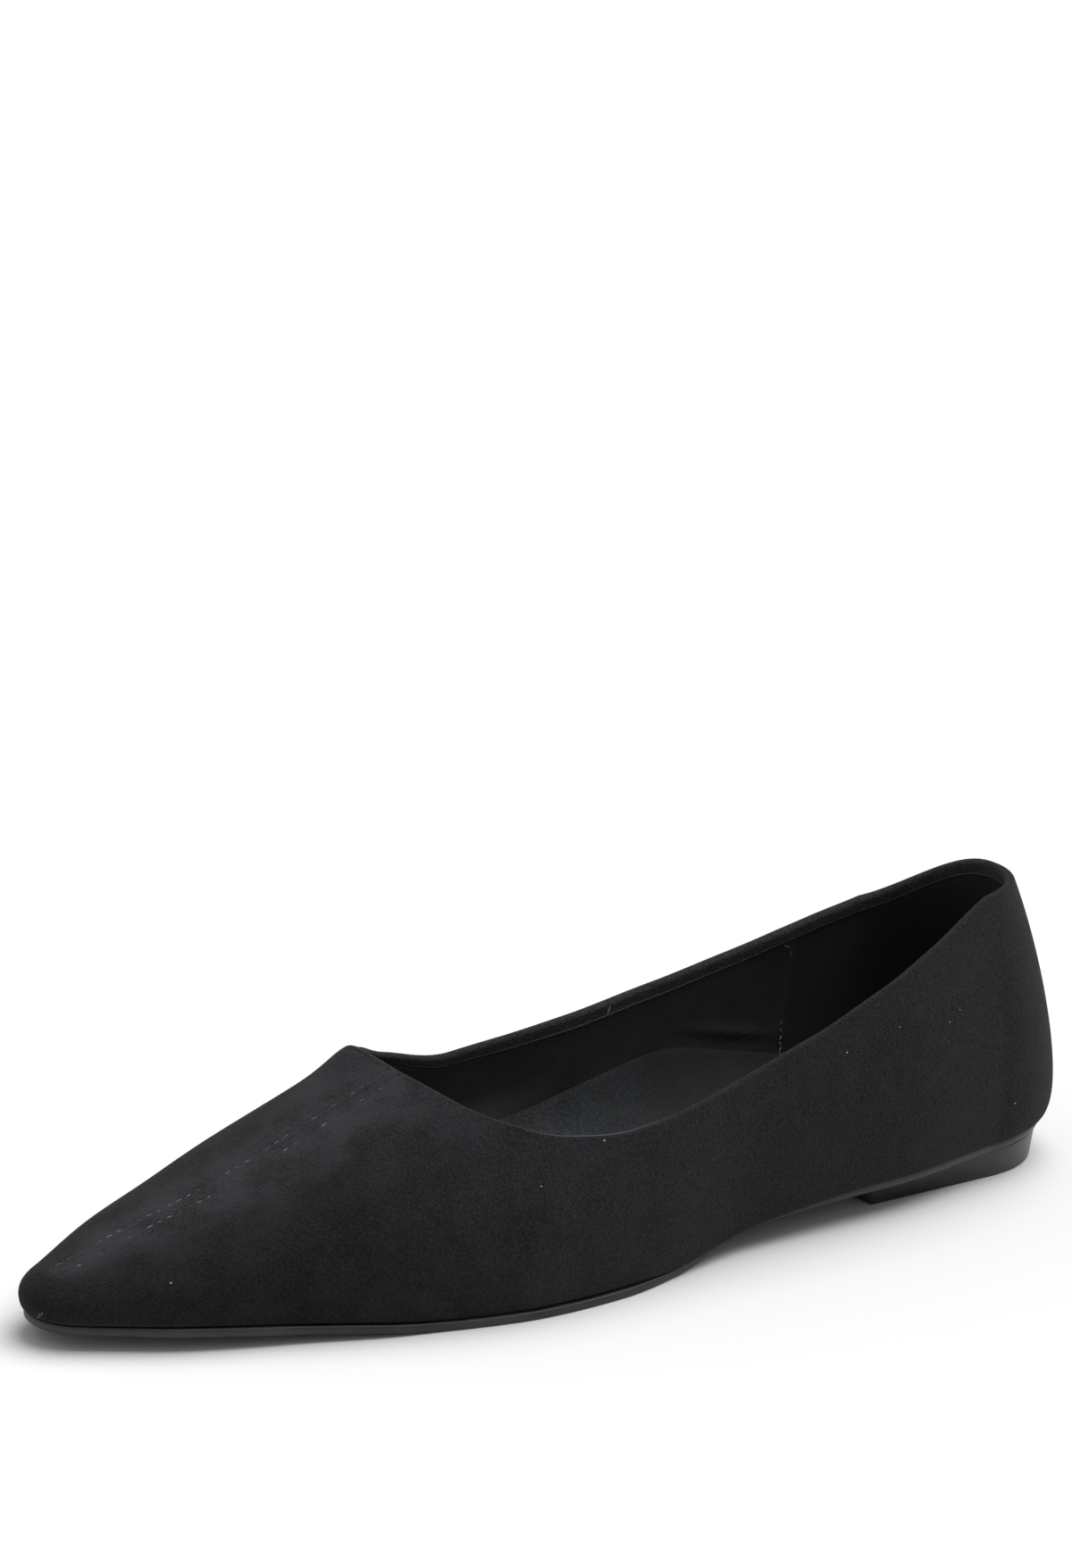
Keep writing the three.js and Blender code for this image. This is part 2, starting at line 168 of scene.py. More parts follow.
# Soft troughs and ridges of the suede. side: 1 outer, -1 inner. at: along the foot. high: share of
# the way up the wall. long and wide: reach along and across. lean: turn. lift: depth, in millimetres.
CREASES = table(
    "side at high long wide lean lift",
    (1, 0.9, 0.45, 9, 3.5, 25, -0.25),
    (1, 0.8, 0.62, 16, 5, 18, 0.3),
    (1, 0.73, 0.5, 18, 6, 12, -0.3),
    (1, 0.62, 0.72, 14, 5, -20, 0.28),
    (1, 0.52, 0.55, 16, 6, -8, -0.3),
    (1, 0.4, 0.7, 15, 5, 6, 0.25),
    (1, 0.28, 0.5, 14, 7, 0, -0.2),
    (-1, 0.82, 0.6, 15, 6, 15, 0.3),
    (-1, 0.7, 0.5, 18, 6, 10, -0.3),
    (-1, 0.5, 0.6, 16, 6, -8, 0.3),
    (-1, 0.35, 0.6, 15, 6, 5, -0.25),
)
# Wrinkle of the lining at the inner side's waist: a ridge over a fold. above: over the insole's edge.
LINING_FOLDS = table(
    "at above long wide lift",
    (0.252, 4.4, 12, 0.9, 0.7),
    (0.252, 2.1, 15, 1.4, -0.42),
)
SIDE_SEAM_AT = 0.197  # where the vamp's and the quarters' linings are joined
QUARTER_BLEND = 0.006  # over how much of the length one lining turns into the other
LIP_AT = 0.676  # middle of the soft swelling of the vamp at the throat

# Lint on the outer side. high: share of the way up the wall. long: size in millimetres.
LINT = table(
    "at high long",
    (0.9166, 0.427, 0.42),
    (0.5788, 0.398, 0.42),
    (0.6402, 0.363, 0.3),
    (0.3145, 0.351, 0.36),
    (0.1948, 0.359, 0.3),
    (0.2547, 0.382, 0.25),
    (0.1799, 0.376, 0.25),
    (0.1075, 0.127, 0.36),
)

# Loose thread ends: on the toe's tip, the inner topline and the lining's side seam. depth: inside the
# outer face, in millimetres. long: in millimetres. turn: degrees from the way to the toe, upward.
THREADS = table(
    "side at high depth long turn faded",
    (1, 0.9966, 0.13, 0, 0.9, 60, 0.35),
    (1, 0.9974, 0.1, 0, 0.8, 120, 0.3),
    (1, 0.9974, 0.075, 0, 0.9, 70, 0.25),
    (1, 0.9982, 0.05, 0, 0.8, 110, 0.2),
    (-1, 0.3968, 0.34, 2.3, 2.2, 75, 1),
    (-1, 0.2, 0.41, 2.3, 2.2, 155, 0.4),
    (-1, 0.194, 0.385, 2.2, 2.2, 110, 0.4),
    (-1, 0.195, 0.205, 2.1, 1.2, 60, 0.5),
    (-1, 0.196, 0.185, 2.1, 1.2, 120, 0.7),
    (-1, 0.195, 0.165, 2.1, 1.2, 60, 0.8),
    (-1, 0.196, 0.15, 2.1, 1.2, 120, 1),
    (-1, 0.195, 0.135, 2.1, 1.2, 60, 1),
    (-1, 0.197, 0.122, 2.1, 1.2, 130, 1),
)


def along(rows, name, at, key="at"):
    """A table's column at shares of the length, on a smooth curve that makes no new peaks."""
    keys, values = rows[key], rows[name]
    span = np.diff(keys)
    slope = np.diff(values) / span
    before, after = slope[:-1], slope[1:]
    total = np.where(before * after > 0, before + after, 1)
    inner = np.where(before * after > 0, 2 * before * after / total, 0)
    turn = np.concatenate([slope[:1], inner, slope[-1:]])
    x = np.clip(at, keys[0], keys[-1])
    i = np.clip(np.searchsorted(keys, x) - 1, 0, len(span) - 1)
    t = (x - keys[i]) / span[i]
    swell = t * (1 - t) * span[i] * ((1 - t) * turn[i] - t * turn[i + 1])
    return values[i] + t * t * (3 - 2 * t) * (values[i + 1] - values[i]) + swell


def length_of(vectors):
    return np.linalg.norm(vectors, axis=-1, keepdims=True)


def spread(count, start, end, crowding=1.0):
    """Shares from start to end, without the start, closer together at the start."""
    return start + (end - start) * (np.arange(1, count + 1) / count) ** crowding


class Last:
    """The last's form as a ring of upright columns: the outer side from toe to heel, then the inner."""

    def __init__(self, sizes):
        self.sizes = sizes
        self.length = sizes.last_length
        heights = sizes.back_height * PLAN["back"] + sizes.instep_height * PLAN["instep"]
        self.crowns = {"at": PLAN["at"], "height": heights}
        outer, inner = self.side(OUTER), self.side(INNER)
        ring = {name: np.concatenate([outer[name], inner[name][-2:0:-1]]) for name in outer}
        self.ring = {name: values[:, None] for name, values in ring.items()}
        self.low = self.share_at(sizes.feather_round)
        rows = 1 - (1 - np.arange(OUTER_ROWS + 1) / OUTER_ROWS) ** 1.6
        self.share = self.low + (self.ring["cut"] - self.low) * rows
        self.skin = self.surface(self.share)
        self.out = self.normal(self.share)
        corners = self.skin.reshape(-1, 3)
        middle = (corners.min(axis=0) + corners.max(axis=0)) / 2
        low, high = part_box("upper")
        place = (low + high) / 2
        self.shift = np.array([place.x - middle[0], place.y - middle[1], 0])
        tip = self.skin[0, ::-1]
        self.seam = np.concatenate([self.skin[THROAT_INDEX:TOE_STEPS:-1, -1], tip])
        self.seam_length = float(length_of(np.diff(self.seam, axis=0)).sum())

    def half(self, at):
        return self.sizes.ball_width * along(PLAN, "half", at)

    def swing(self, at):
        return self.sizes.ball_width * along(PLAN, "swing", at)

    def crown(self, at):
        return along(self.crowns, "height", at)

    def feather(self, at):
        """Height of the feather edge over the floor."""
        sizes = self.sizes
        seat = sizes.seat_rise * along(FLOOR, "seat", at)
        return sizes.sole_thickness + sizes.gap + seat + sizes.toe_spring * along(FLOOR, "spring", at)

    def tip_slope(self, form):
        return (form(TOE_AT) - form(TOE_AT - STEP)) / (STEP * self.length)

    def side(self, side):
        """The columns of one side, from the toe's tip to the heel's back."""
        tip = (1 - TOE_AT) * self.length
        tip_half = self.half(TOE_AT)
        shoulder = max(tip_half + self.tip_slope(self.half) * tip, LEAST_SHOULDER * tip_half)
        a = np.linspace(1, 0, TOE_STEPS + 1)
        toe = {
            "x": self.swing(TOE_AT),
            "y": TOE_AT * self.length,
            "across": (1 - a) ** 2 * tip_half + 2 * a * (1 - a) * shoulder,
            "ahead": (2 * a * (1 - a) + a * a) * tip,
            "top": self.crown(TOE_AT),
            "fall": self.tip_slope(self.crown),
        }
        quarter_at = THROAT_AT - THROAT_REACH
        at = np.concatenate([
            spread(VAMP_STEPS, TOE_AT, THROAT_AT),
            spread(THROAT_STEPS, THROAT_AT, quarter_at, THROAT_CROWDING),
            spread(QUARTER_STEPS, quarter_at, HEEL_AT),
        ])
        sides = {
            "x": self.swing(at),
            "y": at * self.length,
            "across": self.half(at),
            "ahead": 0,
            "top": self.crown(at),
            "fall": 0,
        }
        a = spread(HEEL_STEPS, 0, math.pi / 2)
        heel = {
            "x": 0,
            "y": HEEL_AT * self.length,
            "across": self.half(HEEL_AT) * np.cos(a),
            "ahead": -HEEL_AT * self.length * np.sin(a),
            "top": self.crown(HEEL_AT),
            "fall": 0,
        }
        parts = (toe, sides, heel)
        column = {
            name: np.concatenate([np.broadcast_to(part[name], part["across"].shape) for part in parts])
            for name in toe
        }
        reach = np.hypot(column["across"], column["ahead"])
        at = np.clip((column["y"] + column["ahead"]) / self.length, 0, 1)
        back = np.sqrt(np.maximum(THROAT_AT - at, 0) / THROAT_AT)
        opened = at < THROAT_AT - TINY
        cut = along(TOPLINE, "outer" if side == OUTER else "inner", back, "back")
        column.update(
            side=np.full(at.shape, side),
            dx=side * column["across"] / reach,
            dy=column["ahead"] / reach,
            reach=reach,
            at=at,
            back=back,
            open=opened,
            cut=np.where(opened, cut, 1),
            floor=self.feather(at),
            belly=self.sizes.ball_width * along(WALLS, "belly", at),
            steep=along(WALLS, "steep", at),
            flat=reach * along(WALLS, "flat", at),
        )
        return column

    def surface(self, share, shift=0):
        """Points of the outer surface: share 0 is the feather edge, 1 the crown."""
        c = {name: np.roll(values, -shift, axis=0) for name, values in self.ring.items()}
        u = 1 - share
        low = 3 * u * u * share
        high = 3 * u * share * share
        height = c["top"] - c["floor"]
        out = u**3 * c["reach"] + low * (c["reach"] + c["belly"]) + high * c["flat"]
        top = high * (height + c["fall"] * c["dy"] * c["flat"]) + share**3 * height
        z = c["floor"] + low * c["steep"] * height + top
        return np.stack([c["x"] + c["dx"] * out, -(c["y"] + c["dy"] * out), z], axis=-1)

    def normal(self, share):
        """Normals of the outer surface. On the ridge both sides have the same one."""
        share = np.broadcast_to(share, (len(self.ring["at"]), share.shape[1]))
        turn = self.surface(share, 1) - self.surface(share, -1)
        rise = self.surface(share + STEP) - self.surface(np.maximum(share - STEP, 0))
        ridge = (share > 1 - STEP)[..., None]
        inward = np.zeros_like(rise)
        inward[..., 0] = -self.ring["dx"]
        out = np.cross(turn, np.where(ridge, inward, rise))
        tip = (self.ring["y"] > TOE_AT * self.length - TINY)[..., None]
        out = np.where(ridge & tip, np.array([0, self.tip_slope(self.crown), 1]), out)
        return out / np.maximum(length_of(out), TINY * TINY)

    def share_at(self, height):
        """The share of each column's way up where it is a height above its feather edge."""
        low = np.zeros_like(self.ring["at"])
        high = np.ones_like(low)
        for _ in range(30):
            middle = (low + high) / 2
            below = self.surface(middle)[..., 2] < self.ring["floor"] + height
            low, high = np.where(below, middle, low), np.where(below, high, middle)
        return high

    def floor_point(self, out, height):
        """Points of the foot's floor, some way out from its middle, at a height over the floor."""
        c = self.ring
        out = np.broadcast_to(out, c["at"].shape)
        y = c["y"] + c["dy"] * out
        z = self.feather(y / self.length) + height
        return np.stack([c["x"] + c["dx"] * out, -y, z], axis=-1)

    def clear_out(self, height, clearance):
        """How far out from each column's middle is clear of the lining, at a height over the floor."""
        share = self.share_at(height)
        wall = self.surface(share)[:, 0]
        out = np.hypot(wall[:, :1] - self.ring["x"], wall[:, 1:2] + self.ring["y"])
        flat = length_of(self.normal(share)[:, 0, :2])
        return out - (self.sizes.upper_wall + clearance) / flat

    def arch(self):
        """Rise of the insole's edge on the inner side, at the waist."""
        rise = self.sizes.arch_rise * along(ARCH, "rise", self.ring["at"])
        return np.where(self.ring["dx"] < 0, rise, 0)

    def insole_top(self):
        """Height of the insole's edge over the floor."""
        sizes = self.sizes
        return sizes.upper_wall + sizes.gap + sizes.insole_thickness + self.arch()

    def lip(self, points):
        """How far the vamp is lifted at the throat, on the inner side of its ridge."""
        sizes = self.sizes
        across = self.swing(LIP_AT) - sizes.lip_aside
        middle = np.array([across, -LIP_AT * self.length, self.crown(LIP_AT)])
        reach = np.array([sizes.lip_reach, sizes.lip_depth, sizes.lip_reach])
        return sizes.lip_rise * np.exp(-((points - middle) / reach) ** 2).prod(axis=-1)

    def creases(self, rows, share):
        """Depth of soft troughs and ridges over the surface."""
        c = self.ring
        girth = length_of(np.diff(self.skin, axis=1)).sum(axis=1)
        depth = np.zeros(share.shape)
        for i in range(len(rows["at"])):
            row = {name: values[i] for name, values in rows.items()}
            ahead = (c["at"] - row["at"]) * self.length
            up = (share - row["high"]) * girth
            lean = math.radians(row["lean"])
            p = (ahead * math.cos(lean) + up * math.sin(lean)) / (row["long"] * MM)
            q = (up * math.cos(lean) - ahead * math.sin(lean)) / (row["wide"] * MM)
            here = c["side"] == row["side"]
            depth += here * row["lift"] * MM * np.exp(-p * p - q * q)
        return depth


def seam_distance(last, points):
    """How far points are from the vamp's centre seam, and how far along it."""
    way = np.concatenate([[0], np.cumsum(length_of(np.diff(last.seam, axis=0))[:, 0])])
    flat = points.reshape(-1, 3)
    near = np.full(len(flat), 1.0)
    place = np.zeros(len(flat))
    for start, end, passed in zip(last.seam[:-1], last.seam[1:], way):
        step = end - start
        span = step @ step
        if span < TINY * TINY:
            continue
        t = np.clip((flat - start) @ step / span, 0, 1)
        distance = np.linalg.norm(flat - start - t[:, None] * step, axis=1)
        closer = distance < near
        near = np.where(closer, distance, near)
        place = np.where(closer, passed + t * math.sqrt(span), place)
    return near.reshape(points.shape[:-1]), place.reshape(points.shape[:-1])


def bump_at(distance, centre, width):
    """A soft ridge, 1 at its centre."""
    return np.exp(-(((distance - centre) / width) ** 2))


def eased(value, start, end):
    """From 0 at the start to 1 at the end, softly."""
    t = np.clip((value - start) / (end - start), 0, 1)
    return t * t * (3 - 2 * t)


# Mesh helpers
def finish_mesh(made, name, last, material, replaced=None):
    """Makes a bmesh an object at the origin, rides it on the root and hides the part it replaces."""
    loose = [edge.verts[0].co / MM for edge in made.edges if not edge.is_manifold]
    if loose:
        raise RuntimeError(f"{name}: {len(loose)} edges aren't closed, the first at {loose[0]}")
    bmesh.ops.translate(made, verts=made.verts, vec=Vector(last.shift))
    bmesh.ops.recalc_face_normals(made, faces=made.faces)
    if made.calc_volume(signed=True) < 0:
        bmesh.ops.reverse_faces(made, faces=made.faces)
    for face in made.faces:
        face.smooth = True
    mesh = bpy.data.meshes.new(name)
    made.to_mesh(mesh)
    made.free()
    piece = bpy.data.objects.new(name, mesh)
    bpy.context.scene.collection.objects.link(piece)
    mesh.materials.append(material)
    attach(piece, "root")
    if replaced:
        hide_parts(replaced)
    return piece


def wrap(sections, left_out, marks=None):
    """A closed skin over sections, one for each column of the ring, each a closed row of points.

    left_out says for a column and a row whether the face that starts there is left out.
    """
    columns, rows = sections.shape[:2]
    made = bmesh.new()
    bmesh.ops.create_grid(made, x_segments=columns, y_segments=rows, size=1)
    layers = {name: made.verts.layers.float.new(name) for name in marks or {}}
    cell = {}
    for vert in made.verts:
        i = round((vert.co.x + 1) / 2 * columns)
        j = round((vert.co.y + 1) / 2 * rows)
        cell[vert] = (i, j)
    for vert, (i, j) in cell.items():
        vert.co = sections[i % columns, j % rows]
        for name, layer in layers.items():
            vert[layer] = marks[name][i % columns, j % rows]
    gone = []
    for face in made.faces:
        i = min(cell[vert][0] for vert in face.verts)
        j = min(cell[vert][1] for vert in face.verts)
        if left_out(i, j):
            gone.append(face)
    bmesh.ops.delete(made, geom=gone, context="FACES")
    bmesh.ops.remove_doubles(made, verts=made.verts, dist=MERGED)
    bmesh.ops.dissolve_degenerate(made, edges=made.edges, dist=MERGED)
    return made


def new_piece_seed(number):
    """The same random numbers each run, and other ones for each piece."""
    return random.Random(number)


# Material helpers
def linear(code):
    """An sRGB hex value as a linear colour."""
    parts = [int(code[i : i + 2], 16) / 255 for i in (1, 3, 5)]
    return [p / 12.92 if p <= 0.04045 else ((p + 0.055) / 1.055) ** 2.4 for p in parts] + [1.0]


def add_node(tree, kind, links=None, **settings):
    """Adds a node. links: its inputs, each a value or the output that feeds it."""
    node = tree.nodes.new(kind)
    for name, value in settings.items():
        setattr(node, name, value)
    for key, value in (links or {}).items():
        socket = node.inputs[key]
        if isinstance(value, bpy.types.NodeSocket):
            tree.links.new(value, socket)
        else:
            socket.default_value = value
    return node


def start_material(name, **surface):
    """A material with its surface shader. surface: values of the shader's own sockets."""
    material = bpy.data.materials.new(name)
    material.use_nodes = True
    tree = material.node_tree
    shader = tree.nodes["Principled BSDF"]
    for key, value in surface.items():
        shader.inputs[key.replace("_", " ")].default_value = value
    place = add_node(tree, "ShaderNodeTexCoord").outputs["Object"]
    return material, tree, shader, place


def mottle(tree, place, size, low, high, detail=3.0, rough=0.6):
    """Noise with patches of a real size, as a number from 0 to 1."""
    links = {"Vector": place, "Scale": 1 / size, "Detail": detail, "Roughness": rough}
    noise = add_node(tree, "ShaderNodeTexNoise", links)
    links = {"Value": noise.outputs["Fac"], "From Min": low, "From Max": high}
    return add_node(tree, "ShaderNodeMapRange", links).outputs["Result"]


def mix_colours(tree, factor, a, b):
    """One colour over another."""
    node = add_node(tree, "ShaderNodeMix", data_type="RGBA")
    for socket, value in ((node.inputs[0], factor), (node.inputs[6], a), (node.inputs[7], b)):
        if isinstance(value, bpy.types.NodeSocket):
            tree.links.new(value, socket)
        else:
            socket.default_value = value
    return node.outputs[2]


def worked(tree, operation, a, b, c=0.08):
    """Two numbers worked into one. c is added by MULTIPLY_ADD."""
    links = {0: a, 1: b, 2: c}
    return add_node(tree, "ShaderNodeMath", links, operation=operation).outputs[0]


def bump(tree, shader, height, depth, strength=1.0, before=None):
    """Relief of a real depth on the shader's normal."""
    links = {"Height": height, "Distance": depth, "Strength": strength}
    if before:
        links["Normal"] = before
    node = add_node(tree, "ShaderNodeBump", links)
    tree.links.new(node.outputs["Normal"], shader.inputs["Normal"])
    return node.outputs["Normal"]


def suede_material(colours):
    """Microfibre suede, brushed: a soft nap that is lighter where it lies toward the light. Its colour is
    scaled by painted light and shade, and it carries a painted highlight along the outer topline and a lighter
    line, brightened as a painted highlight, along the fold's lower edge.
    """
    material, tree, shader, place = start_material(
        "black_microfibre_suede",
        Roughness=0.95,
        Specular_IOR_Level=0.12,
        Sheen_Weight=0.06,
        Sheen_Roughness=0.4,
        Sheen_Tint=linear("#d2d4d6"),
    )
    brushed = mottle(tree, place, 11 * MM, 0.38, 0.64, 2.5)
    patches = mottle(tree, place, 4 * MM, 0.35, 0.66)
    # The nap's fibres are about 0.05 mm thick; they are drawn in tufts of 0.5 mm so that they show
    tufts = mottle(tree, place, 0.5 * MM, 0.32, 0.68, 2.0)
    patchy = add_node(tree, "ShaderNodeAttribute", attribute_name="patchy").outputs["Fac"]
    brushed = worked(tree, "MULTIPLY", brushed, worked(tree, "MULTIPLY_ADD", patchy, 0.62))
    tone = worked(tree, "ADD", brushed, worked(tree, "MULTIPLY", patches, 0.12))
    tone = worked(tree, "ADD", tone, worked(tree, "MULTIPLY", tufts, 0.72))
    seam = add_node(tree, "ShaderNodeAttribute", attribute_name="seam").outputs["Fac"]
    painted_topline_highlight = add_node(tree, "ShaderNodeAttribute", attribute_name="edge").outputs["Fac"]
    # Painted light and shade: the tone attribute scales the suede's colour, up where light falls and down
    # where it falls less
    lie = add_node(tree, "ShaderNodeAttribute", attribute_name="tone").outputs["Fac"]
    colour = mix_colours(tree, tone, list(colours.suede_dark) + [1], list(colours.suede_light) + [1])
    colour = mix_colours(tree, worked(tree, "MULTIPLY", seam, 0.06), colour, linear("#0c0c0d"))
    links = {0: colour, "Scale": lie}
    colour = add_node(tree, "ShaderNodeVectorMath", links, operation="SCALE").outputs["Vector"]
    # Painted highlight along the crown of the outer topline at the vamp
    colour = mix_colours(tree, painted_topline_highlight, colour, linear("#6a6d70"))
    # A lighter line along the fold's lower edge, brightened as a painted highlight
    fold_line_and_highlight = add_node(tree, "ShaderNodeAttribute", attribute_name="fold_line_and_highlight").outputs["Fac"]
    colour = mix_colours(tree, fold_line_and_highlight, colour, linear("#a4a8ab"))
    tree.links.new(colour, shader.inputs["Base Color"])
    fluff = mottle(tree, place, 0.35 * MM, 0.2, 0.8, 3.0)
    normal = bump(tree, shader, tufts, 0.25 * MM, 0.6)
    bump(tree, shader, fluff, 0.12 * MM, 0.5, normal)
    return material


def lining_material(colours):
    """Knitted lining: smooth at the front, and a darker brushed one behind the side seams."""
    material, tree, shader, place = start_material(
        "black_textile_lining",
        Roughness=0.85,
        Specular_IOR_Level=0.2,
        Sheen_Weight=0.08,
        Sheen_Roughness=0.5,
    )
    quarter = add_node(tree, "ShaderNodeAttribute", attribute_name="quarter").outputs["Fac"]
    edge = add_node(tree, "ShaderNodeAttribute", attribute_name="edge").outputs["Fac"]
    patches = mottle(tree, place, 9 * MM, 0.35, 0.65)
    dark = list(colours.lining) + [1]
    colour = mix_colours(tree, patches, dark, linear("#28292a"))
    colour = mix_colours(tree, quarter, colour, linear("#1f1f20"))
    # Lighter where the edge mark is: low down at the front, along the side seam, and as a painted highlight
    # along the fold's ridge
    colour = mix_colours(tree, edge, colour, linear("#5a5c5e"))
    tree.links.new(colour, shader.inputs["Base Color"])
    # The knit's loops are about 0.3 mm; they are drawn at 0.5 mm so that they show
    knit = mottle(tree, place, 0.5 * MM, 0.3, 0.7, 1.5)
    bump(tree, shader, knit, 0.1 * MM, 0.5)
    return material


def sock_material(colours):
    """Brushed fabric over the insole, greyer than the lining, with lighter rubbed patches."""
    material, tree, shader, place = start_material(
        "dark_grey_insole_sock",
        Roughness=0.9,
        Specular_IOR_Level=0.2,
        Sheen_Weight=0.1,
        Sheen_Roughness=0.5,
        Sheen_Tint=linear("#ccd1d4"),
    )
    lighter_places = mottle(tree, place, 11 * MM, 0.36, 0.66)
    fibre = mottle(tree, place, 0.6 * MM, 0.3, 0.7, 2.0)
    tone = worked(tree, "ADD", worked(tree, "MULTIPLY", lighter_places, 0.3), worked(tree, "MULTIPLY", fibre, 0.7))
    colour = mix_colours(tree, tone, linear("#161718"), list(colours.sock) + [1])
    # Darker toward the heel
    way = add_node(tree, "ShaderNodeSeparateXYZ", {0: place}).outputs["Y"]
    links = {"Value": way, "From Min": 0.0, "From Max": 40 * MM, "To Max": 0.85}
    back = add_node(tree, "ShaderNodeMapRange", links).outputs["Result"]
    colour = mix_colours(tree, back, colour, linear("#161718"))
    tree.links.new(colour, shader.inputs["Base Color"])
    bump(tree, shader, fibre, 0.2 * MM, 0.5)
    return material


def rubber_material(name, base, roughness, light):
    """Moulded black rubber: satin, with a fine mould grain and lighter rubbed places."""
    material, tree, shader, place = start_material(
        name, Roughness=roughness, Specular_IOR_Level=0.5, IOR=1.5
    )
    lighter_places = mottle(tree, place, 18 * MM, 0.42, 0.7)
    grain = mottle(tree, place, 0.7 * MM, 0.3, 0.7, 2.0)
    colour = mix_colours(tree, worked(tree, "MULTIPLY", lighter_places, light), base, linear("#36383a"))
    tree.links.new(colour, shader.inputs["Base Color"])
    links = {"Value": lighter_places, "To Min": roughness - 0.06, "To Max": roughness + 0.12}
    shine = add_node(tree, "ShaderNodeMapRange", links)
    tree.links.new(shine.outputs["Result"], shader.inputs["Roughness"])
    bump(tree, shader, grain, 0.05 * MM, 0.35)
    return material


def thread_material(colours):
    """Spun polyester thread: dark, and faded to light grey on the stitches that stand proud."""
    material, tree, shader, place = start_material(
        "spun_polyester_thread", Roughness=0.6, Specular_IOR_Level=0.4
    )
    faded = add_node(tree, "ShaderNodeAttribute", attribute_name="faded").outputs["Fac"]
    twist = mottle(tree, place, 0.25 * MM, 0.3, 0.7, 1.0)
    colour = mix_colours(tree, faded, linear("#1a1b1d"), list(colours.thread) + [1])
    tree.links.new(colour, shader.inputs["Base Color"])
    bump(tree, shader, twist, 0.05 * MM, 0.5)
    return material


# Sizes and colours
def size(name, default, description):
    return bpy.props.FloatProperty(
        name=name, description=description, default=default * MM, unit="LENGTH", precision=4, min=0
    )


def shade(name, code, description):
    return bpy.props.FloatVectorProperty(
        name=name,
        description=description,
        default=linear(code)[:3],
        subtype="COLOR",
        size=3,
        min=0,
        max=1,
    )


class ShoeSizes(bpy.types.PropertyGroup):
    last_length: size("Last length", 250, "Feather edge, from the heel's back to the toe's tip")
    ball_width: size("Ball width", 74, "Feather edge, across the ball of the foot")
    instep_height: size("Instep height", 41.6, "Crown of the upper at the throat")
    back_height: size("Back height", 65, "Topline at the back, above the floor")
    seat_rise: size("Seat rise", 8.2, "Feather edge at the heel, above that of the ball")
    toe_spring: size("Toe spring", 3.6, "Feather edge at the tip, above that of the ball")
    upper_wall: size("Upper wall", 1.8, "Suede, backing and lining together")
    suede: size("Suede", 1.25, "Suede and its backing")
    margin_width: size("Margin width", 9, "What is turned in under the foot")
    feather_round: size("Feather round", 0.9, "Where the wall turns in")
    facing_step: size("Facing step", 0.5, "Suede folded over the topline, inside")
    facing_depth: size("Facing depth", 2.6, "How far down the fold reaches")
    rim_round: size("Rim round", 0.8, "Crown of the folded topline")
    lip_rise: size("Lip rise", 2.8, "Swelling of the vamp at the throat")
    lip_reach: size("Lip reach", 10, "How far the swelling reaches across")
    lip_depth: size("Lip depth", 5, "How far it reaches toward the toe")
    lip_aside: size("Lip aside", 15, "Its middle, from the ridge to the inner side")
    sole_thickness: size("Sole thickness", 1.6, "Outsole")
    sole_ledge: size("Sole ledge", 0.8, "How far the outsole stands out at the forefoot")
    waist_tuck: size("Waist tuck", 3, "How far it hides under the upper at the waist")
    edge_round: size("Edge round", 0.45, "Edges of the outsole")
    insole_thickness: size("Insole thickness", 3, "Board and sock")
    insole_clearance: size("Insole clearance", 0.35, "Between the insole's edge and the wall")
    arch_rise: size("Arch rise", 13, "Most that the insole's inner edge is raised, at the waist")
    heel_length: size("Heel length", 63, "From the last's back to the heel's breast")
    heel_width: size("Heel width", 46, "Heel's tread")
    heel_flare: size("Heel flare", 1, "How much the heel's seat is larger than its tread, a side")
    heel_back: size("Heel back", 3.6, "Tread's back edge, in from the last's back")
    heel_round: size("Heel round", 0.5, "Edges of the heel")
    gap: size("Gap", 0.3, "Cement line between two pieces")
    stitch_length: size("Stitch length", 1.6, "One stitch of the vamp seam")
    stitch_pitch: size("Stitch pitch", 2.3, "From one stitch to the next")
    stitch_apart: size("Stitch rows apart", 4.2, "From one row of stitches to the other")
    thread: size("Thread", 0.26, "Thickness of the sewing thread")


class ShoeColours(bpy.types.PropertyGroup):
    suede_dark: shade("Suede, dark", "#141415", "Nap that lies away from the light")
    suede_light: shade("Suede, light", "#2f3032", "Nap that lies toward the light")
    lining: shade("Lining", "#222223", "Lining at the front")
    sock: shade("Insole sock", "#414447", "Rubbed places of the sock")
    rubber: shade("Rubber", "#121314", "Outsole")
    heel: shade("Heel", "#1c1d1e", "Heel's rubber, a little greyer")
    thread: shade("Thread", "#9aa0a5", "Faded stitches")


def shoe_last(context):
    return Last(context.scene.shoe_sizes)


def facing_form(last):
    """Where the folded suede ends inside, as a share of each column, and how much of it is there."""
    sizes, c = last.sizes, last.ring
    fade = np.where(c["open"], np.minimum(c["back"] / FACING_FADE, 1), 0)
    pace = length_of(last.surface(c["cut"]) - last.surface(c["cut"] - STEP))[..., 0] / STEP
    return c["cut"] - fade * sizes.facing_depth / pace, fade


